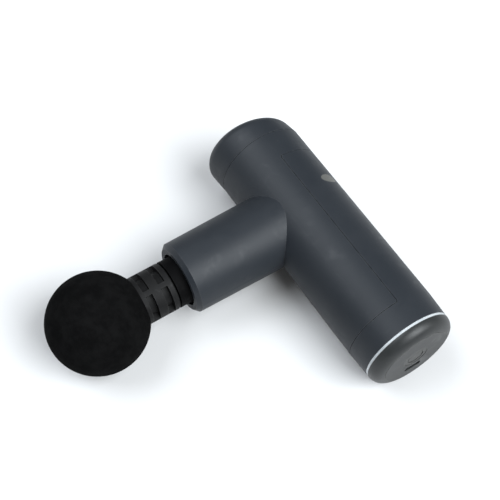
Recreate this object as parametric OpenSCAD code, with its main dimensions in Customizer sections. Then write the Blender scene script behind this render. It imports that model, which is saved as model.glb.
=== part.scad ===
// Compact percussion massage gun, lying on its side with the ball head fitted.
// The handle runs along X with its charging end at +X, the barrel and ball point to -Y,
// and +Z is up. Z = 0 is the lowest point of the ball, and X and Y are centred on the whole gun.

/* [Handle] */
// Radius of the round handle
handle_r = 23; // [22.8:0.1:24]
// Thickness of the casing walls
wall = 2.2; // [2:0.1:2.3]
// Seam between the top cap and the front shell, measured from the barrel axis
top_seam = 35.4; // [35:0.1:36.5]
// Top end of the handle on its own axis, measured from the barrel axis
top_end = 49.6; // [48.5:0.1:51]
// Slope of the top end, which falls towards the back
top_tilt = 8.6; // [0:0.1:9]
// Edge rounding of the top end
top_round = 5.5; // [4:0.1:6]
// Distance from the barrel axis up to the top edge of the back cover
cover_top = 21; // [20:0.1:23]
// Distance from the barrel axis down to the front shell's lower edge
shell_bottom = 72.5; // [71:0.1:74]
// Lower edge of the back cover's collar
collar_end = 84.4; // [84.3:0.1:84.5]
// Radius at the lower edge of the collar, which tapers slightly
collar_r = 22.5; // [22.3:0.1:22.7]
// Bottom face of the handle
base_end = 91.6; // [91.5:0.1:92]
// Edge rounding of the bottom face
base_round = 5.8; // [5:0.1:5.9]
// Width of the visible seams
seam = 0.25; // [0.15:0.05:0.3]
// Corner radius where the seams turn
seam_corner = 1; // [1:0.5:4]

/* [Barrel] */
// Barrel radius projected back to the handle's axis
barrel_root_r = 18.9; // [18.7:0.1:19.2]
// Barrel radius at its mouth
barrel_mouth_r = 18; // [17.7:0.1:18.1]
// Distance of the barrel's mouth from the handle's axis
barrel_len = 70; // [69.8:0.1:70.4]
// Radius of the opening that the piston works in
mouth_bore_r = 13.4; // [13.2:0.1:13.8]
// Bevel round the outer edge of the barrel's mouth
mouth_bevel = 2; // [1.5:0.1:2.4]

/* [Massage head] */
// Radius of the soft ball
ball_r = 24.3; // [22:0.1:26]
// Distance of the ball's centre from the handle's axis
ball_at = 113.2; // [112:0.1:115]
// Radius of the adapter's neck and of the piston
neck_r = 11.9; // [11.8:0.05:12]
// Rear shoulder of the neck
neck_at = 75.9; // [75.8:0.1:76.2]
// Rear edges of the two rows of pockets round the neck
pocket_rows = [78.8, 86.8];
// Length of a pocket along the neck
pocket_len = 3.6; // [2.5:0.1:3.8]
// Depth of the pockets
pocket_depth = 3; // [2:0.1:3.5]
// Width of the four ribs between the pockets
rib_w = 2.4; // [1.5:0.1:3]
// Angle of the first rib round the neck
rib_turn = 70; // [0:1:90]
// Radius of the stem that plugs into the piston
stem_r = 7.95; // [7.9:0.01:7.98]
// Length of the stem
stem_len = 21; // [18:0.5:21.5]

/* [Drive] */
// Crank radius, half of the massage stroke
crank_r = 3; // [2.5:0.1:3]
// Distance between the connecting rod's two pivots
rod_len = 32; // [31.5:0.1:33]
// Thickness of the connecting rod
rod_t = 6; // [5:0.1:6]
// Radius of the piston's guide bore
guide_r = 11.95; // [11.95:0.01:12.1]
// Outer radius of the guide cylinder
guide_outer_r = 15.2; // [15:0.1:15.2]
// Radius of the wrist pin
wrist_r = 2.5; // [2:0.1:3]
// Radius of the crank pin
crank_pin_r = 4; // [3.5:0.1:4]
// Radius of the motor shaft
shaft_r = 2; // [1.5:0.1:2]
// Outer radius of the rotor bell
bell_r = 17; // [16.8:0.1:17.2]
// Number of stator teeth and coils
teeth = 9; // [9:3:9]
// Number of rotor magnets
poles = 12; // [10:2:12]

/* [Power and controls] */
// Radius of a battery cell
cell_r = 9.2; // [9:0.1:9.2]
// Length of a battery cell
cell_len = 65; // [64:0.5:65]
// Radius of the power button
button_r = 6.3; // [5.5:0.1:6.4]
// Radius of the ring cut in the button's face
button_ring_r = 4; // [3:0.1:4.5]
// Distance of the charging port from the handle's axis
port_at = 9.7; // [9.7:0.1:10.5]
// Length and height of the oval screw plugs
plug_size = [10.8, 5.2];
// Angle of the screw plugs round the handle, from the barrel's side
plug_turn = 131; // [129:1:133]
// Position of the screw plugs along the handle
plug_at = -1.1; // [-1.5:0.1:-0.5]

/* [Hidden] */
$fn = 96;

eps = 0.01;
past = 1; // how far a cutter runs past what it cuts
far = 40; // a cutter longer than what it crosses
inner_r = handle_r - wall;

// Casing details
skirt_r = inner_r - 0.2;
skirt_len = 4;
cap_disc_r = 18;
cap_disc_h = 0.45;
cap_cavity_r = 18.6;
x_low = -top_end + cap_disc_h * (1 - cos(top_tilt)) - cap_disc_r * sin(top_tilt);
x_high = base_end;
y_low = -ball_at - ball_r;
y_high = handle_r;
cap_rim_r = 19.4;
cap_hollow_r = 16.4;
cap_rim_depth = 1.6;
face_line_r = 17.2;
face_line_w = 0.3;
face_line_depth = 0.2;
port_gap = 0.12;
zone_half = 60;
zone_len = 200;
ledge_at = 79.8;
ledge_t = 2.4;
ledge_r = 10.8;
cap_start = collar_end + 1.3;
window_gap = 0.1;
plug_depth = 1.2;
plug_cut = 6;
pad_from = 18.4;
pad_bite = 0.4;
pad_r = 3.6;
cover_screw_seat = 20.2;
cover_screw_len = 5;
boss_r = 2.2;
boss_bite = 0.5;
screw_r = 1;
screw_hole_r = 1.15;
head_r = 1.9;
head_t = 1.2;

ear_at = [-8.4, 17];
ear_front = -6;
ear_t = 3.5;
ear_w = 3.6;
ear_screw_len = 8;
ear_boss_len = 12;
tray_boss_len = 24;
tray_ear_at = [9.1, 16.6];
tray_screw_len = 9;

// Drive layout along the handle, all measured from the barrel axis
motor_plate_at = -14;
motor_plate_t = 3;
frame_r = inner_r - 0.4;
base_flange_t = 3;
base_flange_r = 14;
bolt_circle_r = 11.5;
tube_r = 6.2;
tube_end = -34;
bearing_r = 4.5;
bearing_w = 4;
bearing_races = [2.6, 3.8];
bearing_track_r = 3.2;
bearing_ball_r = 0.55;
bearing_ball_count = 8;
ring_step = 0.4;
pilot_r = 8;
pilot_len = 2.5;
hub_bore_r = 3;
motor_screw_r = 1.5;
motor_screw_len = 5;
motor_screw_head = [2.6, 1.2];
bolt_turns = [45, 135, 225, 315];
notch_r = 3.4;
bearing_mouths = [-11.5, -30];
stack_at = -31;
stack_len = 10;
stator_r = 14.2;
stator_hub_r = 8.6;
shoe_r = 12.8;
slot_w = 2;
tooth_from = 7;
tooth_len = 6.4;
tooth_w = 3.2;
coil_from = 8.9;
coil_h = 3.5;
coil_w = 5.6;
coil_over = 1.8;
magnet_r = 14.7;
magnet_t = 1.3;
magnet_at = -32;
magnet_len = 12;
magnet_gap = 0.6;
bell_open = -19.5;
bell_back = -36;
bell_plate_t = 2;
bell_wall = 1;
bell_hub_r = 5;
bell_hub_len = 1.4;
vents = 6;
vent_at = 10.5;
vent_r = 2.4;
shaft_top = -39.5;
disc_at = -9.5;
disc_t = 5;
disc_r = 8;
counterweight_r = 13;
counterweight_from = 1;
weight_hole_r = 1.4;
weight_hole_at = [8.6, 6];
set_screw_r = 1.25;
set_screw_len = 6;
set_screw_hex_r = 0.7;
set_screw_hex_depth = 2;
pin_gap = 0.3;
shaft_clear = 0.05;

// Guide and piston, measured along the barrel
guide_at = 15;
guide_end = 66;
holder_at = 14;
holder_end = 24;
holder_r = 16.6;
arm_from = 14.5;
arm_t = 3.8;
arm_w = 6.4;
arm_past = 3;
wire_window = [17.2, 6.8];
damper_at = [34, 56];
damper_len = 5;
damper_t = 0.5;
seal_at = guide_end + 0.2;
seal_len = barrel_len - wall - seal_at;
piston_back = 29;
piston_bore_r = 9;
piston_bore_end = 45;
socket_r = stem_r + shaft_clear;
socket_depth = 22.5;
neck_gap = 0.6;
piston_front = neck_at - neck_gap;
rod_turn_r = 5.4;
big_end_r = 10;
shank_w = 6.8;
shank_step = 0.5;
rod_pocket_w = 4;
rod_pocket_ends = [7.5, 12.5];
bush_t = 0.6;
wrist_boss_r = 4.6;
wrist_boss_len = 6.4;
wrist_pin_len = 21.6;
rod_play = 0.4;
crank_bearing_r = 8;
crank_bearing_w = 5;
crank_races = [5.1, 6.9];
crank_track_r = 6;
crank_ball_r = 0.85;
crank_ball_count = 10;
pin_bore_r = 1.5;
pin_bore_from = -1.5;
pin_screw_at = 3.1;
pin_screw_len = 4.6;
pin_screw_head = [2.75, 1.8];
washer_r = 5.2;
washer_t = 0.5;
wrist_at = crank_r + rod_len;

// Head
core_r = 8;
core_end = ball_at + 7;
neck_sink = 97;
neck_chamfer = 0.6;
o_ring_t = 0.55;
o_ring_track_r = 7.42;
o_rings = [6, 15];
groove_play = 0.02;
groove_w = 1.3;

// Battery and boards
cell_at = 13;
cell_y = -4;
cell_z = cell_r + 0.2;
tab_w = 7;
tab_h = 8;
tab_t = 0.2;
tray_y = 5.4;
tray_t = 1.4;
tray_top = 7;
tray_w = 36.8;
tray_window = [2.6, 26];
carrier_end_t = 1.1;
carrier_end_gap = [0.5, 0.4];
carrier_window_r = 4.4;
carrier_trim = 0.2;
board_y = 8.6;
board_t = 1.6;
board_x = [15, 75];
board_w = 29;
standoff_x = [19, 71];
standoff_z = 12;
board_screw_len = 4;
fet_size = [4, 1, 5];
fet_from = 27;
fet_pitch = 6;
fet_z = 6;
can_x = 66;
can_z = [3.6, -10.4];
can_r = 2.5;
can_h = 3.2;
// Blocks on the main board: place along it, place across it, and size
blocks = [
    [49, 0, [7, 1.2, 7]], [60, -4, [5, 3, 5]], [15.9, 0, [5, 3, 8]],
    [15.9, 7.4, [4, 2.4, 4.6]], [15.9, -7.4, [4, 2.4, 4.6]], [70.6, 0, [3.2, 2.4, 6]],
];
end_board_at = ledge_at + ledge_t;
end_board_t = 1.4;
end_board_r = 19.8;
end_face = end_board_at + end_board_t;
post_at = 12.9;
post_r = 2.4;
post_turns = [0, 120, 240];
port = [8.94, 3.26];
port_wall = 0.3;
tongue = [6.7, 0.7];
tongue_len = 4.6;
receptacle_back = 1.2;
receptacle_drop = 1.4;
switch_w = 6;
switch_t = 1.7;
plunger_r = 1.2;
plunger_from = end_face + 0.9;
plunger_top = end_face + 2.6;
button_drop = 0.15;
button_t = 2.3;
button_flange_back = 3.3;
button_flange_t = 1.15;
button_stem_r = 1.6;
button_groove = 0.3;
button_dish = 0.12;
led_count = 8;
led_at = 16.2;
led_size = [0.8, 2, 1.4];
end_screw_len = 7;
post_top = base_end - 1.5;
post_hole_len = 5.4;

// Wire routes, points chosen by hand in the gun's own frame
wire_r = 0.7;
motor_route = [[-18.2, 11], [-18.2, 14.5], [-16.9, 17], [-13.5, 18.5], [-6, 18.9], [3, 18.7],
    [8.6, 16.8], [12, 13.4], [13.6, 12.2], [15.85, 12.2]];
lead_route = [[12.72, -3, 9.4], [11.2, -3, 9.4], [9.8, -2.2, 9.5], [8, 0, 9.8], [6.6, 3.4, 10],
    [6.4, 7, 10], [7.6, 9.8, 9.6], [10.4, 11.3, 8.4],
    [13.4, 11.4, 7.4], [15.85, 11.4, 7.4]];
end_route = [[73.9, 11.4, 0], [76, 11.4, 0], [78.5, 10.4, 0], [80, 9.2, 0], [82.1, 9, 0]];

// ---------- placing helpers ----------

// The gun is described from the crossing of its two axes, and moved here to the origin named above.
module place() {
    translate([-(x_low + x_high) / 2, -(y_low + y_high) / 2, ball_r]) children();
}

// Along the handle: local Z becomes +X, starting at x.
module along_handle(x) {
    translate([x, 0, 0]) rotate([0, 90, 0]) children();
}

// Along the barrel: local Z becomes -Y, starting at d from the handle's axis.
module along_barrel(d) {
    translate([0, -d, 0]) rotate([90, 0, 0]) children();
}

// Out of the handle's side: local Z becomes the radius at an angle from the barrel's side.
module outwards(turn) {
    rotate([90 - turn, 0, 0]) children();
}

module rod_x(x, r, len) {
    along_handle(x) cylinder(r = r, h = len);
}

module tube_x(x, r_out, r_in, len) {
    along_handle(x) difference() {
        cylinder(r = r_out, h = len);
        translate([0, 0, -past]) cylinder(r = r_in, h = len + 2 * past);
    }
}

module rod_barrel(d, r, len) {
    along_barrel(d) cylinder(r = r, h = len);
}

module tube_barrel(d, r_out, r_in, len) {
    along_barrel(d) difference() {
        cylinder(r = r_out, h = len);
        translate([0, 0, -past]) cylinder(r = r_in, h = len + 2 * past);
    }
}

// A screw that points along local +Z, with its head below zero.
module screw(r, len, head = head_r, head_h = head_t) {
    translate([0, 0, -head_h / 4]) cylinder(r = r, h = len + head_h / 4);
    translate([0, 0, -head_h]) difference() {
        cylinder(r = head, h = head_h);
        translate([0, 0, -eps]) cylinder(r = head * 0.5, h = head_h * 0.6, $fn = 6);
    }
}

// Tube swept along a route with eight sides.
function unit(v) = v / norm(v);
function heading(p, i) = unit(p[min(i + 1, len(p) - 1)] - p[max(i - 1, 0)]);
function ring(p, i, r, up) =
    let (t = heading(p, i), n = unit(cross(t, up)), b = cross(t, n))
    [for (k = [0:7]) p[i] + r * (cos(45 * k) * n + sin(45 * k) * b)];
module wire(p, r, up) {
    last = len(p) - 1;
    sides = [for (i = [0:last - 1], k = [0:7]) let (j = (k + 1) % 8)
        each [[8 * i + k, 8 * i + 8 + k, 8 * i + j], [8 * i + j, 8 * i + 8 + k, 8 * i + 8 + j]]];
    caps = [[for (k = [0:7]) k], [for (k = [7:-1:0]) 8 * last + k]];
    polyhedron([for (i = [0:last]) each ring(p, i, r, up)], concat(sides, caps));
}

// ---------- casing ----------

// Plan of the seams: the back cover's side is x past the cover's top and y past zero,
// or anywhere past the shell's bottom. Corners are rounded.
module back_plan(grow) {
    top = -cover_top - grow;
    bottom = shell_bottom - grow;
    r = seam_corner;
    difference() {
        union() {
            translate([top, -grow]) square([zone_len, zone_half]);
            translate([bottom, -zone_half]) square([zone_len, 2 * zone_half]);
            translate([bottom - r, -grow - r]) difference() {
                square([r + eps, r + eps]);
                circle(r = r);
            }
        }
        translate([top - eps, -grow - eps]) difference() {
            square([r, r]);
            translate([r, r]) circle(r = r);
        }
    }
}

module back_zone(grow) {
    translate([0, 0, -zone_half]) linear_extrude(2 * zone_half) back_plan(grow);
}

// Outside of the barrel, a slightly drafted tube with a rounded mouth.
module barrel_outside() {
    along_barrel(0) rotate_extrude()
        polygon([[0, 0], [barrel_root_r, 0], [barrel_mouth_r, barrel_len - mouth_bevel],
            [barrel_mouth_r - mouth_bevel, barrel_len], [0, barrel_len]]);
}

module handle_inside(from, to) {
    rod_x(from, inner_r, to - from);
}

// Bosses inside the front shell that take the drive frame's and the carrier's screws.
module shell_bosses() {
    intersection() {
        union() {
            for (side = [-1, 1]) {
                translate([ear_at[0], ear_front - 0.1, side * ear_at[1]]) rotate([90, 0, 0])
                    cylinder(r = boss_r, h = ear_boss_len);
                translate([tray_ear_at[0], tray_y, side * tray_ear_at[1]]) rotate([90, 0, 0])
                    cylinder(r = boss_r, h = tray_boss_len);
            }
        }
        rod_x(-far, inner_r + boss_bite, 2 * far);
    }
}

module shell_boss_holes() {
    for (side = [-1, 1]) {
        translate([ear_at[0], ear_front, side * ear_at[1]]) rotate([90, 0, 0])
            cylinder(r = screw_r, h = ear_screw_len - ear_t);
        translate([tray_ear_at[0], tray_y + eps, side * tray_ear_at[1]]) rotate([90, 0, 0])
            cylinder(r = screw_r, h = tray_screw_len - tray_t + eps);
    }
}

module front_shell() {
    color("#444a54") place() difference() {
        union() {
            difference() {
                union() {
                    rod_x(-top_seam, handle_r, top_seam + shell_bottom);
                    barrel_outside();
                }
                handle_inside(-top_seam - past, shell_bottom + past);
                rod_barrel(0, guide_outer_r + damper_t, barrel_len - wall);
                rod_barrel(0, mouth_bore_r, barrel_len + past);
                back_zone(seam / 2);
            }
            shell_bosses();
        }
        shell_boss_holes();
    }
}

// Pads inside the back cover that the two cover screws clamp to the drive frame.
module cover_pads() {
    for (turn = [plug_turn, -plug_turn]) {
        translate([plug_at, 0, 0]) outwards(turn)
            translate([0, 0, pad_from]) cylinder(r = pad_r, h = inner_r - pad_from + pad_bite);
    }
}

module ellipse_plan(size, grow) {
    polygon([for (a = [0:7.5:352.5])
        [cos(a) * (size[1] / 2 + grow), sin(a) * (size[0] / 2 + grow)]]);
}

module plug_prism(grow, from) {
    for (turn = [plug_turn, -plug_turn]) {
        translate([plug_at, 0, 0]) outwards(turn)
            translate([0, 0, from]) linear_extrude(plug_cut) ellipse_plan(plug_size, grow);
    }
}

module collar_outside() {
    rod_x(-top_seam, handle_r, top_seam + shell_bottom);
    along_handle(shell_bottom) cylinder(r1 = handle_r, r2 = collar_r, h = collar_end - shell_bottom);
}

module back_cover() {
    color("#3f444b") place() intersection() {
        difference() {
            union() {
                difference() {
                    collar_outside();
                    handle_inside(-top_seam - past, ledge_at);
                    rod_x(ledge_at - past, ledge_r, ledge_t + 2 * past);
                    rod_x(ledge_at + ledge_t, end_board_r + 0.2, far);
                }
                cover_pads();
            }
            for (turn = [plug_turn, -plug_turn]) {
                translate([plug_at, 0, 0]) outwards(turn) {
                    cylinder(r = screw_hole_r, h = far);
                    translate([0, 0, cover_screw_seat]) cylinder(r = head_r + 0.15, h = far);
                }
            }
            plug_prism(0.05, handle_r - plug_depth - 0.1);
            for (turn = post_turns) {
                rotate([turn, 0, 0]) translate([0, 0, post_at]) {
                    rod_x(ledge_at - past, screw_hole_r, ledge_t + 2 * past);
                    rod_x(ledge_at - past, head_r + 0.2, past + head_t);
                }
            }
        }
        back_zone(-seam / 2);
    }
}

// The top cap: a soft-edged end on a slope, with a thin raised disc, and a skirt inside the shell.
module top_slope() {
    translate([-top_end + cap_disc_h, 0, 0]) rotate([0, 0, -top_tilt]) children();
}

module top_cap() {
    ring_r = handle_r - top_round;
    color("#42474f") place() {
        difference() {
            union() {
                hull() {
                    top_slope() translate([top_round, 0, 0]) rotate([0, 90, 0])
                        rotate_extrude($fn = 120) translate([ring_r, 0]) circle(r = top_round, $fn = 40);
                    along_handle(-top_seam - seam - 1) cylinder(r = handle_r, h = 1, $fn = 120);
                }
                top_slope() translate([-cap_disc_h, 0, 0]) rod_x(0, cap_disc_r, 2);
                rod_x(-top_seam - 1, skirt_r, skirt_len + 1);
            }
            rod_x(-top_seam - 7, cap_cavity_r, 7 + skirt_len + 1);
        }
    }
}

module light_ring() {
    color("#d3dade") place()
        tube_x(collar_end + 0.1, collar_r - 0.1, 15.6, 1.1);
}

module port_plan(grow) {
    r = port[1] / 2 + grow;
    for (side = [-1, 1]) {
        translate([0, side * (port[0] - port[1]) / 2]) circle(r = r);
    }
    square([2 * r, port[0] - port[1]], center = true);
}

module port_prism(x, len, grow) {
    translate([x, 0, -port_at]) rotate([0, 90, 0]) linear_extrude(len) port_plan(grow);
}

module bottom_cap() {
    face_r = collar_r - base_round;
    color("#5f6364") place() difference() {
        union() {
            difference() {
                along_handle(0) rotate_extrude() intersection() {
                    union() {
                        translate([0, cap_start]) square([face_r, base_end - cap_start]);
                        translate([face_r, base_end - base_round]) circle(r = base_round);
                    }
                    translate([0, cap_start]) square([collar_r, far]);
                }
                rod_x(cap_start - past, cap_rim_r, cap_rim_depth + past);
                rod_x(cap_start - past, cap_hollow_r, base_end - wall - cap_start + past);
            }
            cap_posts();
        }
        tube_x(base_end - face_line_depth, face_line_r + face_line_w / 2,
            face_line_r - face_line_w / 2, past);
        rod_x(cap_start, button_r + window_gap, far);
        port_prism(cap_start, far, port_gap);
        for (turn = post_turns) {
            rotate([turn, 0, 0]) translate([0, 0, post_at])
                rod_x(end_face - past, screw_r, post_hole_len);
        }
    }
}

module cap_posts() {
    for (turn = post_turns) {
        rotate([turn, 0, 0]) translate([0, 0, post_at])
            rod_x(end_face, post_r, post_top - end_face);
    }
}

// The button is a dished disc with a ring cut in its face, a retaining flange and a stem.
module power_button() {
    face = base_end - button_drop;
    color("#5b5f60") place() difference() {
        union() {
            rod_x(face - button_t, button_r, button_t);
            rod_x(face - button_flange_back, button_r + 1, button_flange_t);
            rod_x(plunger_top, button_stem_r, face - button_flange_back + 0.3 - plunger_top);
        }
        tube_x(face - button_groove, button_ring_r + button_groove,
            button_ring_r - button_groove, past);
        rod_x(face - button_dish, button_ring_r - button_groove, past);
    }
}

module switch_plunger() {
    color("#2a2a2a") place() rod_x(plunger_from, plunger_r, plunger_top - plunger_from);
}

module tact_switch() {
    color("#c9ccd0") place() difference() {
        translate([end_face, -switch_w / 2, -switch_w / 2]) cube([switch_t, switch_w, switch_w]);
        rod_x(end_face + 0.2, plunger_r + shaft_clear, switch_t + past);
    }
}

module screw_plugs() {
    color("#67686a") place() intersection() {
        difference() {
            plug_prism(0, handle_r - plug_depth);
            rod_x(-far, handle_r - plug_depth, 2 * far);
        }
        rod_x(-far, handle_r - 0.05, 2 * far);
    }
}

module cover_screws() {
    color("#8d9094") place() for (turn = [plug_turn, -plug_turn]) {
        translate([plug_at, 0, 0]) outwards(turn)
            translate([0, 0, cover_screw_seat]) mirror([0, 0, 1]) screw(screw_r, cover_screw_len);
    }
}

// ---------- massage head ----------

module ball_head() {
    color("#151515") place() difference() {
        along_barrel(ball_at) sphere(r = ball_r);
        rod_barrel(neck_at, neck_r, neck_sink - neck_at);
        rod_barrel(neck_at, core_r, core_end - neck_at);
    }
}

module neck_pockets() {
    for (d = pocket_rows) {
        difference() {
            tube_barrel(d, neck_r + past, neck_r - pocket_depth, pocket_len);
            for (k = [0:3]) {
                along_barrel(d - past) rotate([0, 0, rib_turn + 90 * k])
                    translate([0, -rib_w / 2, 0]) cube([far, rib_w, pocket_len + 2 * past]);
            }
        }
    }
}

module head_adapter() {
    stem_end = neck_at - stem_len;
    groove_r = o_ring_track_r - o_ring_t - groove_play;
    c = neck_chamfer;
    color("#2e2f31") place() difference() {
        along_barrel(0) rotate_extrude() polygon([
            [0, stem_end], [stem_r - c, stem_end], [stem_r, stem_end + c],
            [stem_r, neck_at], [neck_r - c, neck_at], [neck_r, neck_at + c],
            [neck_r, neck_sink], [core_r, neck_sink], [core_r, core_end], [0, core_end]]);
        neck_pockets();
        for (d = o_rings) {
            tube_barrel(stem_end + d - groove_w / 2, stem_r + past, groove_r, groove_w);
        }
    }
}

module stem_o_rings() {
    color("#111111") place() for (d = o_rings) {
        along_barrel(neck_at - stem_len + d) rotate_extrude()
            translate([o_ring_track_r, 0]) circle(r = o_ring_t);
    }
}

// ---------- crank, rod and piston ----------

module at_wrist() {
    translate([0, -wrist_at, 0]) children();
}

module at_crank() {
    translate([0, -crank_r, 0]) children();
}

module piston() {
    color("#1d1e20") place() difference() {
        union() {
            difference() {
                rod_barrel(piston_back, neck_r, piston_front - piston_back);
                rod_barrel(piston_back - past, piston_bore_r, piston_bore_end - piston_back + past);
            }
            at_wrist() for (side = [0, 1]) mirror([side, 0, 0])
                rod_x(rod_t / 2 + rod_play, wrist_boss_r, wrist_boss_len);
        }
        rod_barrel(piston_front - socket_depth, socket_r, far);
        at_wrist() rod_x(-far / 2, wrist_r, far);
    }
}

module wrist_pin() {
    color("#b9bcc0") place() at_wrist() rod_x(-wrist_pin_len / 2, wrist_r, wrist_pin_len);
}

module wrist_bush() {
    color("#a8863f") place() at_wrist()
        tube_x(-rod_t / 2, wrist_r + bush_t, wrist_r + shaft_clear, rod_t);
}

module connecting_rod() {
    color("#a4a8ad") place() difference() {
        union() {
            at_crank() rod_x(-rod_t / 2, big_end_r, rod_t);
            at_wrist() rod_x(-rod_t / 2, rod_turn_r, rod_t);
            translate([-rod_t / 2 + shank_step, -wrist_at, -shank_w / 2])
                cube([rod_t - 2 * shank_step, rod_len, shank_w]);
        }
        at_crank() rod_x(-far / 2, crank_bearing_r, far);
        at_wrist() rod_x(-far / 2, wrist_r + bush_t, far);
        for (side = [0, 1]) mirror([side, 0, 0])
            translate([past, -wrist_at + rod_pocket_ends[0], -rod_pocket_w / 2])
                cube([rod_t, rod_len - rod_pocket_ends[0] - rod_pocket_ends[1], rod_pocket_w]);
    }
}

// A ring of a ball bearing that is centred on x = 0.
module race_ring(outer, inner, w) {
    tube_x(-w / 2, outer, inner, w);
}

module bearing_ball_ring(track_r, ball, count) {
    for (k = [1:count]) {
        rotate([360 / count * k, 0, 0]) translate([0, 0, track_r]) sphere(r = ball, $fn = 32);
    }
}

module crank_bearing() {
    color("#c3c6ca") place() at_crank() {
        race_ring(crank_bearing_r, crank_races[1], crank_bearing_w);
        race_ring(crank_races[0], crank_pin_r, crank_bearing_w);
        bearing_ball_ring(crank_track_r, crank_ball_r, crank_ball_count);
    }
}

// The pin's shoulder holds the bearing's inner ring just clear of its face.
module crank_pin() {
    start = disc_at + disc_t + pin_gap;
    shoulder = -crank_bearing_w / 2 - shaft_clear;
    color("#8f9398") place() at_crank() difference() {
        union() {
            rod_x(start, crank_pin_r + 1, shoulder - start);
            rod_x(shoulder - shaft_clear, crank_pin_r, crank_bearing_w + 2 * shaft_clear);
        }
        rod_x(pin_bore_from, pin_bore_r, far);
    }
}

module crank_pin_screw() {
    color("#6f7377") place() at_crank() along_handle(pin_screw_at) mirror([0, 0, 1]) {
        screw(pin_bore_r, pin_screw_len, pin_screw_head[0], pin_screw_head[1]);
        difference() {
            cylinder(r = washer_r, h = washer_t);
            translate([0, 0, -past]) cylinder(r = pin_bore_r - eps, h = washer_t + 2 * past);
        }
    }
}

module crank_disc() {
    color("#7d8085") place() difference() {
        union() {
            rod_x(disc_at, disc_r, disc_t);
            intersection() {
                rod_x(disc_at, counterweight_r, disc_t);
                translate([disc_at, counterweight_from, -far / 2]) cube([disc_t, far, far]);
            }
        }
        rod_x(disc_at - past, shaft_r, disc_t + 2 * past);
        translate([disc_at + disc_t / 2, shaft_r - 0.5, 0]) rotate([-90, 0, 0])
            cylinder(r = set_screw_r, h = far);
        for (side = [-1, 1]) {
            translate([0, weight_hole_at[0], side * weight_hole_at[1]])
                rod_x(disc_at - past, weight_hole_r, disc_t + 2 * past);
        }
    }
}

module crank_set_screw() {
    color("#3a3c3f") place() translate([disc_at + disc_t / 2, shaft_r + 0.02, 0]) rotate([-90, 0, 0])
        difference() {
            cylinder(r = set_screw_r, h = set_screw_len);
            translate([0, 0, set_screw_len - set_screw_hex_depth])
                cylinder(r = set_screw_hex_r, h = set_screw_hex_depth + past, $fn = 6);
        }
}

// ---------- motor ----------

module motor_shaft() {
    color("#bfc2c6") place() rod_x(shaft_top, shaft_r, disc_at + disc_t - 0.1 - shaft_top);
}

module rotor_bell() {
    color("#9ea2a8") place() difference() {
        union() {
            tube_x(bell_back - eps, bell_r, bell_r - bell_wall, bell_open - bell_back + eps);
            rod_x(bell_back - bell_plate_t, bell_r, bell_plate_t);
            rod_x(bell_back - eps, bell_hub_r, bell_hub_len);
        }
        rod_x(bell_back - bell_plate_t - past, shaft_r, far);
        for (k = [0:vents - 1]) {
            rotate([360 / vents * k, 0, 0]) translate([0, 0, vent_at])
                rod_x(bell_back - bell_plate_t - past, vent_r, bell_plate_t + 2 * past);
        }
    }
}

module rotor_magnets() {
    color("#5a5d61") place() along_handle(magnet_at) linear_extrude(magnet_len) difference() {
        circle(r = magnet_r + magnet_t);
        circle(r = magnet_r);
        for (k = [1:poles]) {
            rotate(360 / poles * k) translate([stator_r, -magnet_gap / 2]) square([far, magnet_gap]);
        }
    }
}

module at_bearings() {
    for (x = bearing_mouths) {
        translate([x - bearing_w / 2, 0, 0]) children();
    }
}

module bearing_inner_rings() {
    color("#c3c6ca") place() at_bearings()
        race_ring(bearing_races[0], shaft_r, bearing_w - ring_step);
}

module bearing_balls() {
    color("#d6d8db") place() at_bearings()
        bearing_ball_ring(bearing_track_r, bearing_ball_r, bearing_ball_count);
}

module bearing_outer_rings() {
    color("#b4b7bb") place() at_bearings() race_ring(bearing_r, bearing_races[1], bearing_w);
}

module motor_bolts(r, from, len) {
    for (turn = bolt_turns) {
        rotate([turn, 0, 0]) translate([0, 0, bolt_circle_r]) rod_x(from, r, len);
    }
}

module motor_base() {
    flange = motor_plate_at - base_flange_t;
    color("#8b9096") place() difference() {
        union() {
            rod_x(flange, base_flange_r, base_flange_t);
            rod_x(motor_plate_at - eps, pilot_r, pilot_len);
            rod_x(tube_end, tube_r, flange - tube_end + eps);
        }
        rod_x(-far - 10, hub_bore_r, far + 10);
        rod_x(bearing_mouths[0] - bearing_w, bearing_r, bearing_w + past);
        rod_x(bearing_mouths[1] - bearing_w - past, bearing_r, bearing_w + past);
        motor_bolts(motor_screw_r, flange - past, base_flange_t + 2 * past);
        translate([0, base_flange_r, 0]) rod_x(flange - past, notch_r, base_flange_t + 2 * past);
    }
}

module stator_core() {
    color("#6b6f74") place() along_handle(stack_at) linear_extrude(stack_len) difference() {
        union() {
            circle(r = stator_hub_r);
            for (k = [1:teeth]) {
                rotate(360 / teeth * k) translate([tooth_from, -tooth_w / 2])
                    square([tooth_len, tooth_w]);
            }
            difference() {
                circle(r = stator_r);
                circle(r = shoe_r);
                for (k = [1:teeth]) {
                    rotate(360 / teeth * (k + 0.5)) translate([tooth_from, -slot_w / 2])
                        square([far, slot_w]);
                }
            }
        }
        circle(r = tube_r);
    }
}

module stator_coils() {
    color("#b4662c") place() for (k = [1:teeth]) {
        rotate([360 / teeth * k + 180, 0, 0]) difference() {
            translate([stack_at - coil_over, -coil_w / 2, coil_from])
                cube([stack_len + 2 * coil_over, coil_w, coil_h]);
            translate([stack_at - shaft_clear, -tooth_w / 2 - shaft_clear, tooth_from])
                cube([stack_len + 2 * shaft_clear, tooth_w + 2 * shaft_clear, tooth_len + past]);
        }
    }
}

module motor_screws() {
    color("#8d9094") place() for (turn = bolt_turns) {
        rotate([turn, 0, 0]) translate([motor_plate_at + motor_plate_t, 0, bolt_circle_r])
            rotate([0, -90, 0])
                screw(motor_screw_r, motor_screw_len, motor_screw_head[0], motor_screw_head[1]);
    }
}

// ---------- drive frame and guide ----------

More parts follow.
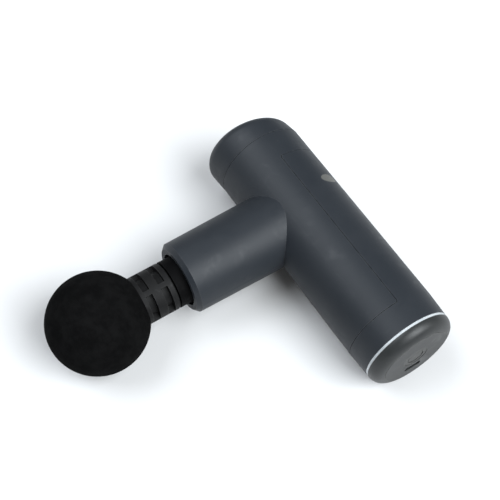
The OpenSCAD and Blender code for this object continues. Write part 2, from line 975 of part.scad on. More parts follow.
module frame_arms() {
    for (turn = [plug_turn, -plug_turn]) {
        outwards(turn) translate([motor_plate_at + 1, -arm_w / 2, arm_from])
            cube([plug_at + arm_past - motor_plate_at - 1, arm_w, arm_t]);
    }
}

module frame_ears() {
    for (side = [-1, 1]) {
        translate([ear_at[0], ear_front + ear_t, side * ear_at[1]]) rotate([90, 0, 0])
            cylinder(r = boss_r, h = ear_t);
        translate([motor_plate_at + 1, ear_front, side * ear_at[1] - ear_w / 2])
            cube([ear_at[0] - motor_plate_at - 1, ear_t, ear_w]);
    }
}

module drive_frame() {
    color("#9a9ea3") place() difference() {
        intersection() {
            union() {
                rod_x(motor_plate_at, frame_r, motor_plate_t);
                rod_barrel(holder_at, holder_r, holder_end - holder_at);
                frame_arms();
                frame_ears();
            }
            rod_x(-far, frame_r, 2 * far);
        }
        rod_barrel(holder_at - past, guide_outer_r, holder_end - holder_at + 2 * past);
        rod_x(motor_plate_at - past, pilot_r + shaft_clear, motor_plate_t + 2 * past);
        motor_bolts(motor_screw_r + 0.15, motor_plate_at - past, motor_plate_t + 2 * past);
        translate([motor_plate_at - past, wire_window[0], -wire_window[1] / 2])
            cube([motor_plate_t + 2 * past, far, wire_window[1]]);
        for (side = [-1, 1]) {
            translate([ear_at[0], 0, side * ear_at[1]]) rotate([90, 0, 0])
                cylinder(r = screw_hole_r, h = -ear_front + past);
        }
        for (turn = [plug_turn, -plug_turn]) {
            translate([plug_at, 0, 0]) outwards(turn)
                translate([0, 0, cover_screw_seat - cover_screw_len]) cylinder(r = screw_r, h = far);
        }
    }
}

module drive_frame_screws() {
    color("#8d9094") place() for (side = [-1, 1]) {
        translate([ear_at[0], ear_front + ear_t, side * ear_at[1]]) rotate([90, 0, 0])
            screw(screw_r, ear_screw_len);
    }
}

module guide_cylinder() {
    color("#9c8558") place() tube_barrel(guide_at, guide_outer_r, guide_r, guide_end - guide_at);
}

module guide_dampers() {
    color("#202020") place() for (d = damper_at) {
        tube_barrel(d, guide_outer_r + damper_t, guide_outer_r, damper_len);
    }
}

module dust_seal() {
    color("#3a3c3f") place()
        tube_barrel(seal_at, guide_outer_r + 0.4, neck_r + 0.1, seal_len);
}

// ---------- battery ----------

module battery_cells() {
    color("#3d7f9c") place() for (side = [-1, 1]) {
        translate([0, cell_y, side * cell_z]) {
            rod_x(cell_at, cell_r, cell_len);
        }
    }
}

// Nickel strips: one joins the two cells at the lower end, and each lead has its own at the top.
module battery_tabs() {
    color("#c5c7c9") place() {
        translate([cell_at + cell_len + shaft_clear, cell_y - tab_w / 2, -cell_z - tab_h / 2])
            cube([tab_t, tab_w, 2 * cell_z + tab_h]);
        for (side = [-1, 1]) {
            translate([cell_at - tab_t - shaft_clear, cell_y - tab_w / 2, side * cell_z - tab_h / 2])
                cube([tab_t, tab_w, tab_h]);
        }
    }
}

module carrier_ends() {
    outer = frame_r - carrier_trim;
    starts = [cell_at - carrier_end_gap[0] - carrier_end_t, cell_at + cell_len + carrier_end_gap[1]];
    for (x = starts) {
        difference() {
            rod_x(x, outer, carrier_end_t);
            translate([x - past, -far, -far])
                cube([carrier_end_t + 2 * past, far + cell_y - cell_r, 2 * far]);
            translate([x - past, tray_y + tray_t, -far])
                cube([carrier_end_t + 2 * past, far, 2 * far]);
            for (side = [-1, 1]) {
                translate([0, cell_y, side * cell_z])
                    rod_x(x - past, carrier_window_r, carrier_end_t + 2 * past);
            }
        }
    }
}

module battery_carrier() {
    tray_end = cell_at + cell_len + carrier_end_gap[1] + carrier_end_t;
    color("#2f3133") place() difference() {
        union() {
            translate([tray_top, tray_y, -tray_w / 2]) cube([tray_end - tray_top, tray_t, tray_w]);
            carrier_ends();
            for (x = standoff_x, side = [-1, 1]) {
                translate([x, tray_y, side * standoff_z]) rotate([-90, 0, 0])
                    cylinder(r = boss_r, h = board_y - tray_y);
            }
        }
        for (x = standoff_x, side = [-1, 1]) {
            translate([x, tray_y - past, side * standoff_z]) rotate([-90, 0, 0])
                cylinder(r = screw_r, h = board_y - tray_y + 2 * past);
        }
        for (side = [-1, 1]) {
            translate([tray_ear_at[0], tray_y - past, side * tray_ear_at[1]]) rotate([-90, 0, 0])
                cylinder(r = screw_hole_r, h = tray_t + 2 * past);
        }
        translate([tray_top - past, tray_y - past, -tray_window[1] / 2])
            cube([tray_window[0] + past, tray_t + 2 * past, tray_window[1]]);
    }
}

module carrier_screws() {
    color("#8d9094") place() for (side = [-1, 1]) {
        translate([tray_ear_at[0], tray_y + tray_t, side * tray_ear_at[1]]) rotate([90, 0, 0])
            screw(screw_r, tray_screw_len);
    }
}

// ---------- electronics ----------

module main_board() {
    color("#1e5a3a") place() difference() {
        translate([board_x[0], board_y, -board_w / 2]) cube([board_x[1] - board_x[0], board_t, board_w]);
        for (x = standoff_x, side = [-1, 1]) {
            translate([x, board_y - past, side * standoff_z]) rotate([-90, 0, 0])
                cylinder(r = screw_hole_r, h = board_t + 2 * past);
        }
    }
}

// One block on the main board's outer face.
module chip(x, z, size) {
    translate([x, board_y + board_t, z - size[2] / 2]) cube(size);
}

module board_parts() {
    color("#26282b") place() {
        for (k = [0:2], side = [-1, 1]) {
            chip(fet_from + fet_pitch * k, side * fet_z, fet_size);
        }
        for (b = blocks) {
            chip(b[0], b[1], b[2]);
        }
        for (z = can_z) {
            translate([can_x, board_y + board_t, z]) rotate([-90, 0, 0]) cylinder(r = can_r, h = can_h);
        }
    }
}

module board_screws() {
    color("#8d9094") place() for (x = standoff_x, side = [-1, 1]) {
        translate([x, board_y + board_t, side * standoff_z]) rotate([90, 0, 0])
            screw(screw_r, board_screw_len);
    }
}

module end_board() {
    color("#1e5a3a") place() difference() {
        rod_x(end_board_at, end_board_r, end_board_t);
        for (turn = post_turns) {
            rotate([turn, 0, 0]) translate([0, 0, post_at])
                rod_x(end_board_at - past, screw_hole_r, end_board_t + 2 * past);
        }
    }
}

module usb_receptacle() {
    mouth = base_end - receptacle_drop;
    color("#b9bcbf") place() {
        difference() {
            port_prism(end_face, mouth - end_face, 0);
            port_prism(end_face + receptacle_back, mouth, -port_wall);
        }
        translate([end_face + receptacle_back - 0.1, -tongue[0] / 2, -port_at - tongue[1] / 2])
            cube([tongue_len, tongue[0], tongue[1]]);
    }
}

module ring_leds() {
    color("#f2f0d8") place() for (k = [1:led_count]) {
        rotate([360 / led_count * (k - 0.5), 0, 0])
            translate([end_face, -led_size[1] / 2, led_at]) cube(led_size);
    }
}

module end_screws() {
    color("#8d9094") place() for (turn = post_turns) {
        rotate([turn, 0, 0]) translate([ledge_at + head_t, 0, post_at]) rotate([0, 90, 0])
            screw(screw_r, end_screw_len);
    }
}

module motor_wires() {
    color("#b03a2e") place() for (z = [-2, 0, 2]) {
        wire([for (p = motor_route) [p[0], p[1], z]], wire_r, [0, 0, 1]);
    }
}

module battery_leads() {
    color("#b03a2e") place() for (side = [0, 1]) mirror([0, 0, side])
        wire(lead_route, wire_r, [0, 0, 1]);
}

module end_cable() {
    color("#3a3c3f") place() wire(end_route, wire_r, [0, 0, 1]);
}

front_shell();
back_cover();
top_cap();
light_ring();
bottom_cap();
power_button();
switch_plunger();
screw_plugs();
cover_screws();
ball_head();
head_adapter();
stem_o_rings();
piston();
wrist_pin();
connecting_rod();
wrist_bush();
crank_bearing();
crank_pin();
crank_pin_screw();
crank_disc();
crank_set_screw();
motor_shaft();
rotor_bell();
rotor_magnets();
bearing_inner_rings();
bearing_balls();
bearing_outer_rings();
motor_base();
stator_core();
stator_coils();
motor_screws();
drive_frame();
drive_frame_screws();
guide_cylinder();
guide_dampers();
dust_seal();
battery_cells();
battery_tabs();
battery_carrier();
carrier_screws();
main_board();
board_parts();
board_screws();
end_board();
usb_receptacle();
tact_switch();
ring_leds();
end_screws();
motor_wires();
battery_leads();
end_cable();
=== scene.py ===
"""Looks for a handheld massage gun.

It sets the camera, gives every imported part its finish, builds the foam ball and the felt ring behind the
barrel's mouth, and adds the floor and the lights.
"""

import math

import bmesh
import bpy
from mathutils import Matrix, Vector, noise


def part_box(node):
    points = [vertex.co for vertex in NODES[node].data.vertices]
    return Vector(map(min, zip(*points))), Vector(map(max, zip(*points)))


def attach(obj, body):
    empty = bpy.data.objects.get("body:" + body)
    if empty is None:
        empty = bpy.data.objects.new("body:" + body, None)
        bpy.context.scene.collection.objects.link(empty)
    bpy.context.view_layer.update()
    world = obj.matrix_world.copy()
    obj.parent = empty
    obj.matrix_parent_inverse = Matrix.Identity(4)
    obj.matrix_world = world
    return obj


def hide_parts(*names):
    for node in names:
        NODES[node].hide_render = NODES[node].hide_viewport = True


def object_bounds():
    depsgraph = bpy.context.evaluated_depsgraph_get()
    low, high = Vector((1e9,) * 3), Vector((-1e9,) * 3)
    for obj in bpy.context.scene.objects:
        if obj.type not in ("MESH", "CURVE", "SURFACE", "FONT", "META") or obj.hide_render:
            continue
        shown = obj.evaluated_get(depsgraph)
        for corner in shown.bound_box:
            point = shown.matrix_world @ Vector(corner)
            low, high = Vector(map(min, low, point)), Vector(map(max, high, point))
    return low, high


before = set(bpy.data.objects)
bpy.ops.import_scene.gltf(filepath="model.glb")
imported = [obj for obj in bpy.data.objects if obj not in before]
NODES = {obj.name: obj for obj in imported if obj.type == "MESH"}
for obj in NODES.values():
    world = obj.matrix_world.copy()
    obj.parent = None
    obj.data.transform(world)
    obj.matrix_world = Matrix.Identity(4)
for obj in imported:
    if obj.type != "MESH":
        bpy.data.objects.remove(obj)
cad_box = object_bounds()

MM = 0.001

# ---------------------------------------------------------------- camera

CAMERA_PLACE = (0.19580, -0.12381, 0.44777)
CAMERA_TURN = (29.426, -1.4405, 57.009)  # degrees about X, Y and Z
CAMERA_LENS = 74.63  # mm, on a 36 mm sensor
CAMERA_SENSOR = 36.0
CAMERA_SHIFT = (-0.0062, 0.0698)


def make_camera():
    """The camera at the photograph's viewing angle."""
    data = bpy.data.cameras.new("view")
    data.lens = CAMERA_LENS
    data.sensor_width = CAMERA_SENSOR
    data.shift_x, data.shift_y = CAMERA_SHIFT
    data.clip_start = 0.01
    data.clip_end = 20.0
    data.dof.use_dof = False
    camera = bpy.data.objects.new("view", data)
    camera.location = CAMERA_PLACE
    camera.rotation_euler = [math.radians(a) for a in CAMERA_TURN]
    bpy.context.scene.collection.objects.link(camera)
    bpy.context.scene.camera = camera


# ---------------------------------------------------------------- materials

# Sizes and depths in metres
MIDDLE = (0.35, 0.65)  # the part of a noise's range that most of its values lie in
ARRIS_DOTS = (0.985, 0.88)  # bevelled normal times true one, where an arris starts and where it is full
ARRIS_SPECKS = 0.0022  # size of the gaps in the wear along an arris
ARRIS_POLISH = -0.08  # how much smoother a worn arris is
LINT_SPACING = 0.0045
LINT_SPOT = (0.055, 0.02)  # edge and core of a speck of lint, in spacings
LINT_SHOW = 0.35
WAVE_DEPTH = 4.0  # depth of the slow moulding waves, in grain depths
METAL_ARRIS = 0.0003
METAL_WORN = 1.25  # how much brighter metal is along its arrises
FOAM_CLOUD = 0.007
FOAM_SHINE = 0.003
FIBRE_DEPTH = 0.00012
GUIDE_CLOUD = 0.009
GUIDE_SHINE = 0.002
GUIDE_GRAIN = 0.0004
GUIDE_GRAIN_DEPTH = 0.000006
TRACK_PITCH = (0.0016, 0.0021)
TRACK_HEIGHT = 0.00004
WAVE_PERIOD = 0.314  # of the Wave node, at a scale of 1


class Surface:
    """One node material round a Principled shader, in the part's own coordinates."""

    def __init__(self, name, **sockets):
        self.material = bpy.data.materials.new(name)
        self.material.use_nodes = True
        self.tree = self.material.node_tree
        self.shader = self.tree.nodes["Principled BSDF"]
        self.place = self.node("ShaderNodeTexCoord").outputs["Object"]
        self.normal = None
        for key, value in sockets.items():
            self.shader.inputs[key.replace("_", " ")].default_value = value

    def node(self, kind, inputs=(), **settings):
        made = self.tree.nodes.new(kind)
        for key, value in settings.items():
            setattr(made, key, value)
        for key, value in dict(inputs).items():
            if isinstance(value, bpy.types.NodeSocket):
                self.tree.links.new(value, made.inputs[key])
            else:
                made.inputs[key].default_value = value
        return made

    def stretched(self, stretch):
        """The part's coordinates, drawn out along the axes where stretch is above 1."""
        scale = [1.0 / s for s in stretch]
        return self.node("ShaderNodeMapping", {"Vector": self.place, "Scale": scale}).outputs["Vector"]

    def noise(self, size, detail=2.0, rough=0.5, stretch=None, twist=0.0):
        place = self.stretched(stretch) if stretch else self.place
        inputs = {"Vector": place, "Scale": 1.0 / size}
        inputs |= {"Detail": detail, "Roughness": rough, "Distortion": twist}
        return self.node("ShaderNodeTexNoise", inputs).outputs["Fac"]

    def cells(self, size, feature="F1", stretch=None):
        place = self.stretched(stretch) if stretch else self.place
        made = self.node("ShaderNodeTexVoronoi", {"Vector": place, "Scale": 1.0 / size}, feature=feature)
        return made.outputs["Distance"]

    def bands(self, size, axis="X", twist=0.0):
        inputs = {"Vector": self.place, "Scale": WAVE_PERIOD / size}
        inputs |= {"Distortion": twist, "Detail": 1.0, "Detail Scale": 1.5}
        made = self.node("ShaderNodeTexWave", inputs, wave_type="BANDS", bands_direction=axis)
        return made.outputs["Fac"]

    def spread(self, value, low, high, to_low=0.0, to_high=1.0):
        inputs = {"Value": value, "From Min": low, "From Max": high, "To Min": to_low, "To Max": to_high}
        return self.node("ShaderNodeMapRange", inputs, interpolation_type="SMOOTHSTEP").outputs["Result"]

    def times(self, a, b):
        made = self.node("ShaderNodeMath", operation="MULTIPLY")
        for socket, value in zip(made.inputs, (a, b)):
            if isinstance(value, bpy.types.NodeSocket):
                self.tree.links.new(value, socket)
            else:
                socket.default_value = value
        return made.outputs[0]

    def blend(self, factor, a, b):
        made = self.node("ShaderNodeMix", data_type="RGBA")
        for socket, value in ((made.inputs[0], factor), (made.inputs[6], a), (made.inputs[7], b)):
            if isinstance(value, bpy.types.NodeSocket):
                self.tree.links.new(value, socket)
            elif isinstance(value, (tuple, list)):
                socket.default_value = (*value, 1.0)
            else:
                socket.default_value = value
        return made.outputs[2]

    def edges(self, radius):
        """1 on the arrises of the part and 0 on its flats and wide curves."""
        soft = self.node("ShaderNodeBevel", {"Radius": radius}, samples=4).outputs["Normal"]
        hard = self.node("ShaderNodeNewGeometry").outputs["Normal"]
        made = self.node("ShaderNodeVectorMath", operation="DOT_PRODUCT")
        self.tree.links.new(soft, made.inputs[0])
        self.tree.links.new(hard, made.inputs[1])
        return self.spread(made.outputs["Value"], *ARRIS_DOTS)

    def bump(self, height, depth):
        inputs = {"Height": height, "Distance": depth, "Strength": 1.0}
        if self.normal is not None:
            inputs["Normal"] = self.normal
        self.normal = self.node("ShaderNodeBump", inputs).outputs["Normal"]

    def finish(self, colour, roughness):
        self.tree.links.new(colour, self.shader.inputs["Base Color"])
        self.tree.links.new(roughness, self.shader.inputs["Roughness"])
        if self.normal is not None:
            self.tree.links.new(self.normal, self.shader.inputs["Normal"])
        return self.material


def moulded(
    name, dark, light, worn, rough, patch=0.03, grain=0.00035, grain_depth=0.000012, wear=0.0006, **sockets
):
    """Moulded plastic or rubber: cloudy tone, fine grain, faint waves, polished arrises and lint."""
    s = Surface(name, **sockets)
    clouds = s.spread(s.noise(patch, detail=4.0, rough=0.6), *MIDDLE)
    tone = s.blend(clouds, dark, light)
    rubs = s.spread(s.noise(patch * 0.3, detail=5.0, rough=0.7, twist=0.6), 0.45, 0.75)
    arris = s.times(s.edges(wear), s.spread(s.noise(ARRIS_SPECKS, detail=3.0), 0.35, 0.6, 0.25, 1.0))
    tone = s.blend(arris, tone, worn)
    lint = s.spread(s.cells(LINT_SPACING), *LINT_SPOT, 0.0, LINT_SHOW)
    tone = s.blend(lint, tone, worn)
    s.bump(s.noise(patch * 0.35, detail=1.0), grain_depth * WAVE_DEPTH)
    s.bump(s.noise(grain, detail=3.0, rough=0.65), grain_depth)
    low, high = rough
    rubbed = s.spread(rubs, 0.0, 1.0, high, low)
    polish = s.node("ShaderNodeMath", {0: rubbed, 1: s.times(arris, ARRIS_POLISH)}, operation="ADD")
    return s.finish(tone, polish.outputs[0])


def metal(
    name, dark, light, rough, streak=(1.0, 1.0, 1.0), size=0.0004, depth=0.000003, patch=0.006, **sockets
):
    """Machined or drawn metal: tool lines along the streak, cloudy tone and brighter arrises."""
    s = Surface(name, Metallic=1.0, **sockets)
    lines = s.noise(size, detail=3.0, rough=0.6, stretch=streak)
    clouds = s.spread(s.noise(patch, detail=3.0), *MIDDLE)
    tone = s.blend(clouds, dark, light)
    tone = s.blend(s.times(s.edges(METAL_ARRIS), 0.6), tone, tuple(min(1.0, c * METAL_WORN) for c in light))
    s.bump(lines, depth)
    low, high = rough
    return s.finish(tone, s.spread(lines, 0.3, 0.7, low, high))


def foam(name, dark, light, rough, cell, cell_depth, **sockets):
    """Closed-cell foam skin: fine pores over a slow, cloudy tone, with painted shade darkening the pores'
    centres.
    """
    s = Surface(name, **sockets)
    pores = s.cells(cell)
    tone = s.blend(s.spread(s.noise(FOAM_CLOUD, detail=5.0, rough=0.65), *MIDDLE), dark, light)
    # painted shade: the colour is darkened towards the centre of each pore, where the bump sinks a pit
    tone = s.blend(s.spread(pores, 0.25, 0.02, 0.0, 0.7), tone, dark)
    s.bump(s.noise(cell * 5.0, detail=3.0), cell_depth * 1.5)
    s.bump(pores, cell_depth)
    low, high = rough
    return s.finish(tone, s.spread(s.noise(FOAM_SHINE, detail=3.0), *MIDDLE, low, high))


def felt(name, dark, light, fibre=0.00025, **sockets):
    """Pressed felt: crossed fibres and a soft nap."""
    s = Surface(name, **sockets)
    one = s.noise(fibre, detail=4.0, stretch=(6.0, 1.0, 1.0), twist=1.5)
    two = s.noise(fibre, detail=4.0, stretch=(1.0, 1.0, 6.0), twist=1.5)
    fibres = s.times(one, two)
    tone = s.blend(s.spread(fibres, 0.15, 0.4), dark, light)
    s.bump(fibres, FIBRE_DEPTH)
    return s.finish(tone, s.spread(one, 0.3, 0.7, 0.85, 1.0))


def banded(name, dark, light, pitch, axis, rough, depth, metallic=1.0, twist=0.0, **sockets):
    """Stacked sheets or wound wire: bands of the real pitch, dark between them."""
    s = Surface(name, Metallic=metallic, **sockets)
    ridges = s.bands(pitch, axis, twist)
    cloud = s.blend(s.noise(0.004, detail=3.0), light, tuple(c * 0.8 for c in light))
    tone = s.blend(s.spread(ridges, 0.0, 0.45), dark, cloud)
    s.bump(ridges, depth)
    low, high = rough
    return s.finish(tone, s.spread(s.noise(0.0015, detail=3.0), 0.3, 0.7, low, high))


def glow_plastic(name, dark, light, rough, glow, **sockets):
    """Milky light guide: cloudy white with light scattered inside, a faint glow and a fine grain."""
    s = Surface(name, **sockets)
    clouds = s.spread(s.noise(GUIDE_CLOUD, detail=3.0), *MIDDLE)
    tone = s.blend(clouds, dark, light)
    s.bump(s.noise(GUIDE_GRAIN, detail=2.0), GUIDE_GRAIN_DEPTH)
    s.tree.links.new(tone, s.shader.inputs["Emission Color"])
    s.shader.inputs["Emission Strength"].default_value = glow
    low, high = rough
    return s.finish(tone, s.spread(s.noise(GUIDE_SHINE, detail=3.0), *MIDDLE, low, high))


def circuit_board(name, dark, light, trace, **sockets):
    """Solder mask over copper: tracks show as slightly raised, lighter lines."""
    s = Surface(name, **sockets)
    tone = s.blend(s.noise(0.008, detail=3.0), dark, light)
    across, along = s.bands(TRACK_PITCH[0], "X", 3.0), s.bands(TRACK_PITCH[1], "Z", 4.0)
    tracks = s.times(s.spread(across, 0.6, 0.8), s.spread(along, 0.2, 0.6))
    tone = s.blend(s.times(tracks, 0.5), tone, trace)
    s.bump(tracks, TRACK_HEIGHT)
    return s.finish(tone, s.spread(s.noise(0.002), 0.3, 0.7, 0.25, 0.4))


def make_materials():
    """The finish of each slot. Tones run dark, light and worn, and then come the limits of the roughness."""
    lengthwise, across = (14.0, 1.0, 1.0), (1.0, 14.0, 1.0)
    return {
        "casing": moulded(
            "casing", (0.0138, 0.0172, 0.0220), (0.0166, 0.0200, 0.0248),
            (0.046, 0.050, 0.054), (0.42, 0.52),
            Specular_IOR_Level=0.29,
        ),
        "cap": moulded(
            "cap", (0.0160, 0.0178, 0.0185), (0.0190, 0.0206, 0.0208), (0.085, 0.085, 0.080), (0.34, 0.44),
            Specular_IOR_Level=0.36,
        ),
        "light_guide": glow_plastic(
            "light_guide", (0.40, 0.43, 0.45), (0.50, 0.53, 0.55), (0.3, 0.42), 0.02,
            Subsurface_Weight=0.35, Subsurface_Radius=(0.002, 0.002, 0.002), Subsurface_Scale=1.0,
        ),
        "button": moulded(
            "button", (0.024, 0.025, 0.024), (0.028, 0.029, 0.028), (0.075, 0.075, 0.070), (0.32, 0.44),
            patch=0.01, grain=0.0003, Specular_IOR_Level=0.42,
        ),
        "plug": moulded(
            "plug", (0.062, 0.062, 0.056), (0.074, 0.074, 0.067), (0.11, 0.11, 0.10), (0.55, 0.7),
            patch=0.008, wear=0.0004, Specular_IOR_Level=0.35, Sheen_Weight=0.15, Sheen_Roughness=0.5,
        ),
        "ball_foam": foam(
            "ball_foam", (0.0030, 0.0030, 0.0031), (0.0052, 0.0052, 0.0053), (0.90, 1.0), 0.00045, 0.00005,
            Specular_IOR_Level=0.02,
        ),
        "adapter": moulded(
            "adapter", (0.0042, 0.0042, 0.0044), (0.0060, 0.0060, 0.0062),
            (0.030, 0.030, 0.030), (0.46, 0.60),
            patch=0.012, wear=0.0004, Specular_IOR_Level=0.16,
        ),
        "piston_plastic": moulded(
            "piston_plastic", (0.0012, 0.0012, 0.0014), (0.0020, 0.0020, 0.0022),
            (0.010, 0.010, 0.010), (0.55, 0.70),
            patch=0.012, wear=0.0004, Specular_IOR_Level=0.06,
        ),
        "black_rubber": moulded(
            "black_rubber", (0.006, 0.006, 0.006), (0.010, 0.010, 0.010), (0.03, 0.03, 0.03), (0.6, 0.8),
            patch=0.006, wear=0.0003, Specular_IOR_Level=0.3, Sheen_Weight=0.2, Sheen_Roughness=0.5,
        ),
        "steel": metal("steel", (0.52, 0.53, 0.55), (0.62, 0.63, 0.65), (0.16, 0.30), lengthwise),
        "screw_steel": metal(
            "screw_steel", (0.34, 0.35, 0.37), (0.46, 0.47, 0.49), (0.25, 0.42), patch=0.002,
        ),
        "aluminium": metal("aluminium", (0.56, 0.58, 0.60), (0.68, 0.70, 0.72), (0.28, 0.44), lengthwise),
        "bronze": metal(
            "bronze", (0.42, 0.30, 0.14), (0.55, 0.40, 0.20), (0.28, 0.45), size=0.0005, depth=0.000006,
        ),
        "counterweight": metal(
            "counterweight", (0.24, 0.25, 0.27), (0.33, 0.34, 0.36), (0.35, 0.55), across,
        ),
        "magnet": metal("magnet", (0.36, 0.37, 0.38), (0.45, 0.46, 0.47), (0.30, 0.5), patch=0.003),
        "lamination": banded(
            "lamination", (0.05, 0.05, 0.055), (0.34, 0.35, 0.37), 0.0005, "X", (0.3, 0.5), 0.00003,
        ),
        "copper": banded(
            "copper", (0.20, 0.06, 0.02), (0.66, 0.28, 0.12), 0.0006, "Y", (0.18, 0.32), 0.0001, twist=0.4,
        ),
        "felt": felt(
            "felt", (0.020, 0.021, 0.023), (0.055, 0.057, 0.062), Sheen_Weight=0.4, Sheen_Roughness=0.6,
        ),
        "cell": moulded(
            "cell", (0.030, 0.165, 0.290), (0.040, 0.200, 0.330), (0.10, 0.30, 0.42), (0.16, 0.28),
            patch=0.01, grain=0.002, grain_depth=0.00002, Specular_IOR_Level=0.5,
        ),
        "nickel": metal(
            "nickel", (0.60, 0.58, 0.55), (0.72, 0.70, 0.66), (0.2, 0.38), across, patch=0.003,
        ),
        "inner_plastic": moulded(
            "inner_plastic", (0.022, 0.023, 0.024), (0.030, 0.031, 0.032), (0.08, 0.08, 0.08), (0.45, 0.6),
            patch=0.014, Specular_IOR_Level=0.45,
        ),
        "board": circuit_board("board", (0.004, 0.055, 0.026), (0.006, 0.075, 0.034), (0.02, 0.16, 0.07)),
        "chip_black": moulded(
            "chip_black", (0.010, 0.010, 0.011), (0.016, 0.016, 0.017), (0.06, 0.06, 0.06), (0.45, 0.6),
            patch=0.003, grain=0.0002, wear=0.0002,
        ),
        "led": glow_plastic("led", (0.80, 0.74, 0.48), (0.90, 0.86, 0.66), (0.15, 0.25), 0.05),
        "wire_red": moulded(
            "wire_red", (0.28, 0.012, 0.008), (0.36, 0.016, 0.010), (0.5, 0.08, 0.06), (0.3, 0.42),
            patch=0.006, grain=0.0008, wear=0.0002,
        ),
        "wire_black": moulded(
            "wire_black", (0.008, 0.008, 0.009), (0.013, 0.013, 0.014), (0.05, 0.05, 0.05), (0.3, 0.42),
            patch=0.006, grain=0.0008, wear=0.0002,
        ),
    }


def slot_of(material, slots):
    """The record's slot that a packed material belongs to."""
    base = material.name.split(".")[0]
    return base if base in slots else None


def dress_cad(finishes):
    """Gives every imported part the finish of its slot."""
    for node in NODES.values():
        for place in node.material_slots:
            slot = slot_of(place.material, finishes)
            if slot is None:
                raise SystemExit(f"no finish for {place.material.name} on {node.name}")
            place.material = finishes[slot]


# ---------------------------------------------------------------- pieces


ON_AXIS = 1e-7


def turned(name, profile, centre, axis, steps, material):
    """A closed mesh: a profile of (radius, distance along axis) turned about an axis through centre."""
    axis = Vector(axis)
    side = axis.orthogonal().normalized()
    up = axis.cross(side)
    mesh = bmesh.new()
    rings = []
    for radius, along in profile:
        middle = Vector(centre) + axis * along
        if radius < ON_AXIS:
            rings.append([mesh.verts.new(middle)])
            continue
        ring = []
        for k in range(steps):
            turn = 2.0 * math.pi * k / steps
            ring.append(mesh.verts.new(middle + radius * (math.cos(turn) * side + math.sin(turn) * up)))
        rings.append(ring)
    closed = len(rings[0]) > 1 and len(rings[-1]) > 1
    pairs = list(zip(rings, rings[1:] + ([rings[0]] if closed else [])))
    for a, b in pairs[: len(rings) - (0 if closed else 1)]:
        for k in range(steps):
            n = (k + 1) % steps
            if len(a) == 1:
                mesh.faces.new((a[0], b[k], b[n]))
            elif len(b) == 1:
                mesh.faces.new((a[k], b[0], a[n]))
            else:
                mesh.faces.new((a[k], b[k], b[n], a[n]))
    bmesh.ops.recalc_face_normals(mesh, faces=mesh.faces)
    data = bpy.data.meshes.new(name)
    mesh.to_mesh(data)
    mesh.free()
    data.shade_smooth()
    data.materials.append(material)
    made = bpy.data.objects.new(name, data)
    bpy.context.scene.collection.objects.link(made)
    return made


def arc(middle, radius, start, end, count):
    """Points of (radius, along) on an arc about middle, from the angle start to end in degrees."""
    turns = [math.radians(start + (end - start) * k / count) for k in range(count + 1)]
    return [(middle[0] + radius * math.cos(t), middle[1] + radius * math.sin(t)) for t in turns]


BALL_BORE = 8.0 * MM  # the adapter's core
BALL_NECK = 11.9 * MM
BALL_SEAT = 8.9 * MM  # how deep the neck sinks below the ball's skin
BALL_SEAT_GAP = 3.0 * MM
BALL_LIP = 0.5 * MM
BALL_SKIN = 0.05 * MM
BALL_DIMPLE = 0.035 * MM
BALL_DIMPLES = ((420.0, 0.6), (1300.0, 0.4))  # how many to a metre, and their share of the depth
BALL_STEPS = (150, 288)  # along and round


def make_ball(material):
    """The foam ball: a skin with soft, shallow dimples, rolled over a small lip where it meets the neck."""
    low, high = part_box("ball_head")
    radius = (high.x - low.x) / 2.0
    centre = Vector(((low.x + high.x) / 2.0, low.y + radius, (low.z + high.z) / 2.0))
    core_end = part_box("head_adapter")[0].y - centre.y
    neck_angle = math.degrees(math.acos((BALL_NECK + BALL_LIP) / radius))
    shoulder = radius * math.sin(math.radians(neck_angle))
    seat = shoulder - BALL_SEAT + BALL_SEAT_GAP
    profile = arc((0.0, 0.0), radius, -90.0, neck_angle, BALL_STEPS[0])
    profile[0] = (0.0, -radius)
    profile += arc((BALL_NECK + BALL_LIP, shoulder - BALL_LIP), BALL_LIP, 90.0, 180.0, 6)[1:]
    profile += [(BALL_NECK, seat), (BALL_BORE, seat), (BALL_BORE, core_end), (0.0, core_end)]
    ball = turned("massage_ball", profile, centre, (0.0, 1.0, 0.0), BALL_STEPS[1], material)
    for v in ball.data.vertices:
        out = v.co - centre
        if out.length > radius - BALL_SKIN:
            depth = sum(noise.noise(v.co * many) * share for many, share in BALL_DIMPLES)
            v.co = centre + out.normalized() * (radius - BALL_DIMPLE * (0.5 + 0.5 * depth))
    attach(ball, "head")
    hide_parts("ball_head")


FELT_BORE = 12.0 * MM
FELT_ROUND = 0.4 * MM
FELT_STEPS = 128


def make_felt_seal(material):
    """The felt ring that wipes the piston behind the barrel's mouth, soft at its edges."""
    low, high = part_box("dust_seal")
    outer = (high.z - low.z) / 2.0
    width = high.y - low.y
    centre = ((low.x + high.x) / 2.0, low.y, (low.z + high.z) / 2.0)
    r = FELT_ROUND
    corners = (((FELT_BORE + r, r), 180.0), ((outer - r, r), 270.0))
    corners += (((outer - r, width - r), 0.0), ((FELT_BORE + r, width - r), 90.0))
    profile = []
    for middle, start in corners:
        profile += arc(middle, r, start, start + 90.0, 4)
    seal = turned("felt_seal", profile, centre, (0.0, 1.0, 0.0), FELT_STEPS, material)
    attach(seal, "main")
    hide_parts("dust_seal")


# ---------------------------------------------------------------- surroundings

FLOOR_HALF = 2.0
FLOOR_DROP = 0.0002
FLOOR_TONES = ((0.66, 0.66, 0.66), (0.68, 0.68, 0.68))
WORLD_LIGHT = 0.22
LIGHTS = {  # direction from the part, distance, width, power, colour
    "right_box": ((0.60, 0.29, 0.745), 4.0, 3.0, 272.0, (0.93, 0.97, 1.0)),
    "left_box": ((-0.40, -0.38, 0.83), 4.0, 3.0, 136.0, (0.90, 0.95, 1.0)),
}


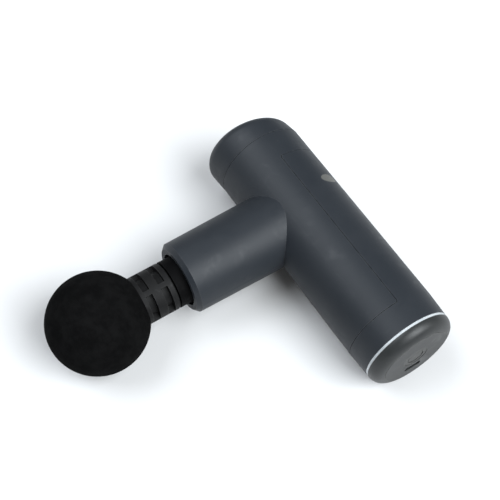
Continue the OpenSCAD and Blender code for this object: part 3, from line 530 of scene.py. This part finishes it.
def make_floor():
    """A plain pale floor just under the part."""
    s = Surface("floor", Specular_IOR_Level=0.2)
    tone = s.blend(s.noise(0.6, detail=2.0), *FLOOR_TONES)
    s.bump(s.noise(0.002, detail=2.0), 0.00001)
    material = s.finish(tone, s.spread(s.noise(0.4), 0.3, 0.7, 0.8, 0.9))
    data = bpy.data.meshes.new("floor")
    h = FLOOR_HALF
    data.from_pydata([(-h, -h, 0.0), (h, -h, 0.0), (h, h, 0.0), (-h, h, 0.0)], [], [(0, 1, 2, 3)])
    data.materials.append(material)
    floor = bpy.data.objects.new("floor", data)
    floor.location.z = cad_box[0][2] - FLOOR_DROP
    bpy.context.scene.collection.objects.link(floor)


def make_lights():
    """Two soft boxes over the part and a plain sky that lights it dimly but shows as a pale backdrop."""
    scene = bpy.context.scene
    world = bpy.data.worlds.new("studio")
    world.use_nodes = True
    tree = world.node_tree
    light = tree.nodes["Background"]
    light.inputs["Color"].default_value = (1.0, 1.0, 1.0, 1.0)
    light.inputs["Strength"].default_value = WORLD_LIGHT
    backdrop = tree.nodes.new("ShaderNodeBackground")
    backdrop.inputs["Color"].default_value = (1.0, 1.0, 1.0, 1.0)
    seen = tree.nodes.new("ShaderNodeMixShader")
    tree.links.new(tree.nodes.new("ShaderNodeLightPath").outputs["Is Camera Ray"], seen.inputs[0])
    tree.links.new(light.outputs[0], seen.inputs[1])
    tree.links.new(backdrop.outputs[0], seen.inputs[2])
    tree.links.new(seen.outputs[0], tree.nodes["World Output"].inputs["Surface"])
    scene.world = world
    target = (Vector(cad_box[0]) + Vector(cad_box[1])) / 2.0
    for name, (direction, distance, width, power, colour) in LIGHTS.items():
        data = bpy.data.lights.new(name, "AREA")
        data.shape = "SQUARE"
        data.size = width
        data.energy = power
        data.color = colour
        lamp = bpy.data.objects.new(name, data)
        lamp.visible_camera = False
        lamp.location = target + distance * Vector(direction).normalized()
        lamp.rotation_euler = (-Vector(direction)).to_track_quat("-Z", "Y").to_euler()
        scene.collection.objects.link(lamp)


# ---------------------------------------------------------------- build

make_camera()
finishes = make_materials()
dress_cad(finishes)
make_ball(finishes["ball_foam"])
make_felt_seal(finishes["felt"])
make_floor()
make_lights()
bpy.context.scene.view_settings.view_transform = "Standard"

bpy.context.view_layer.update()
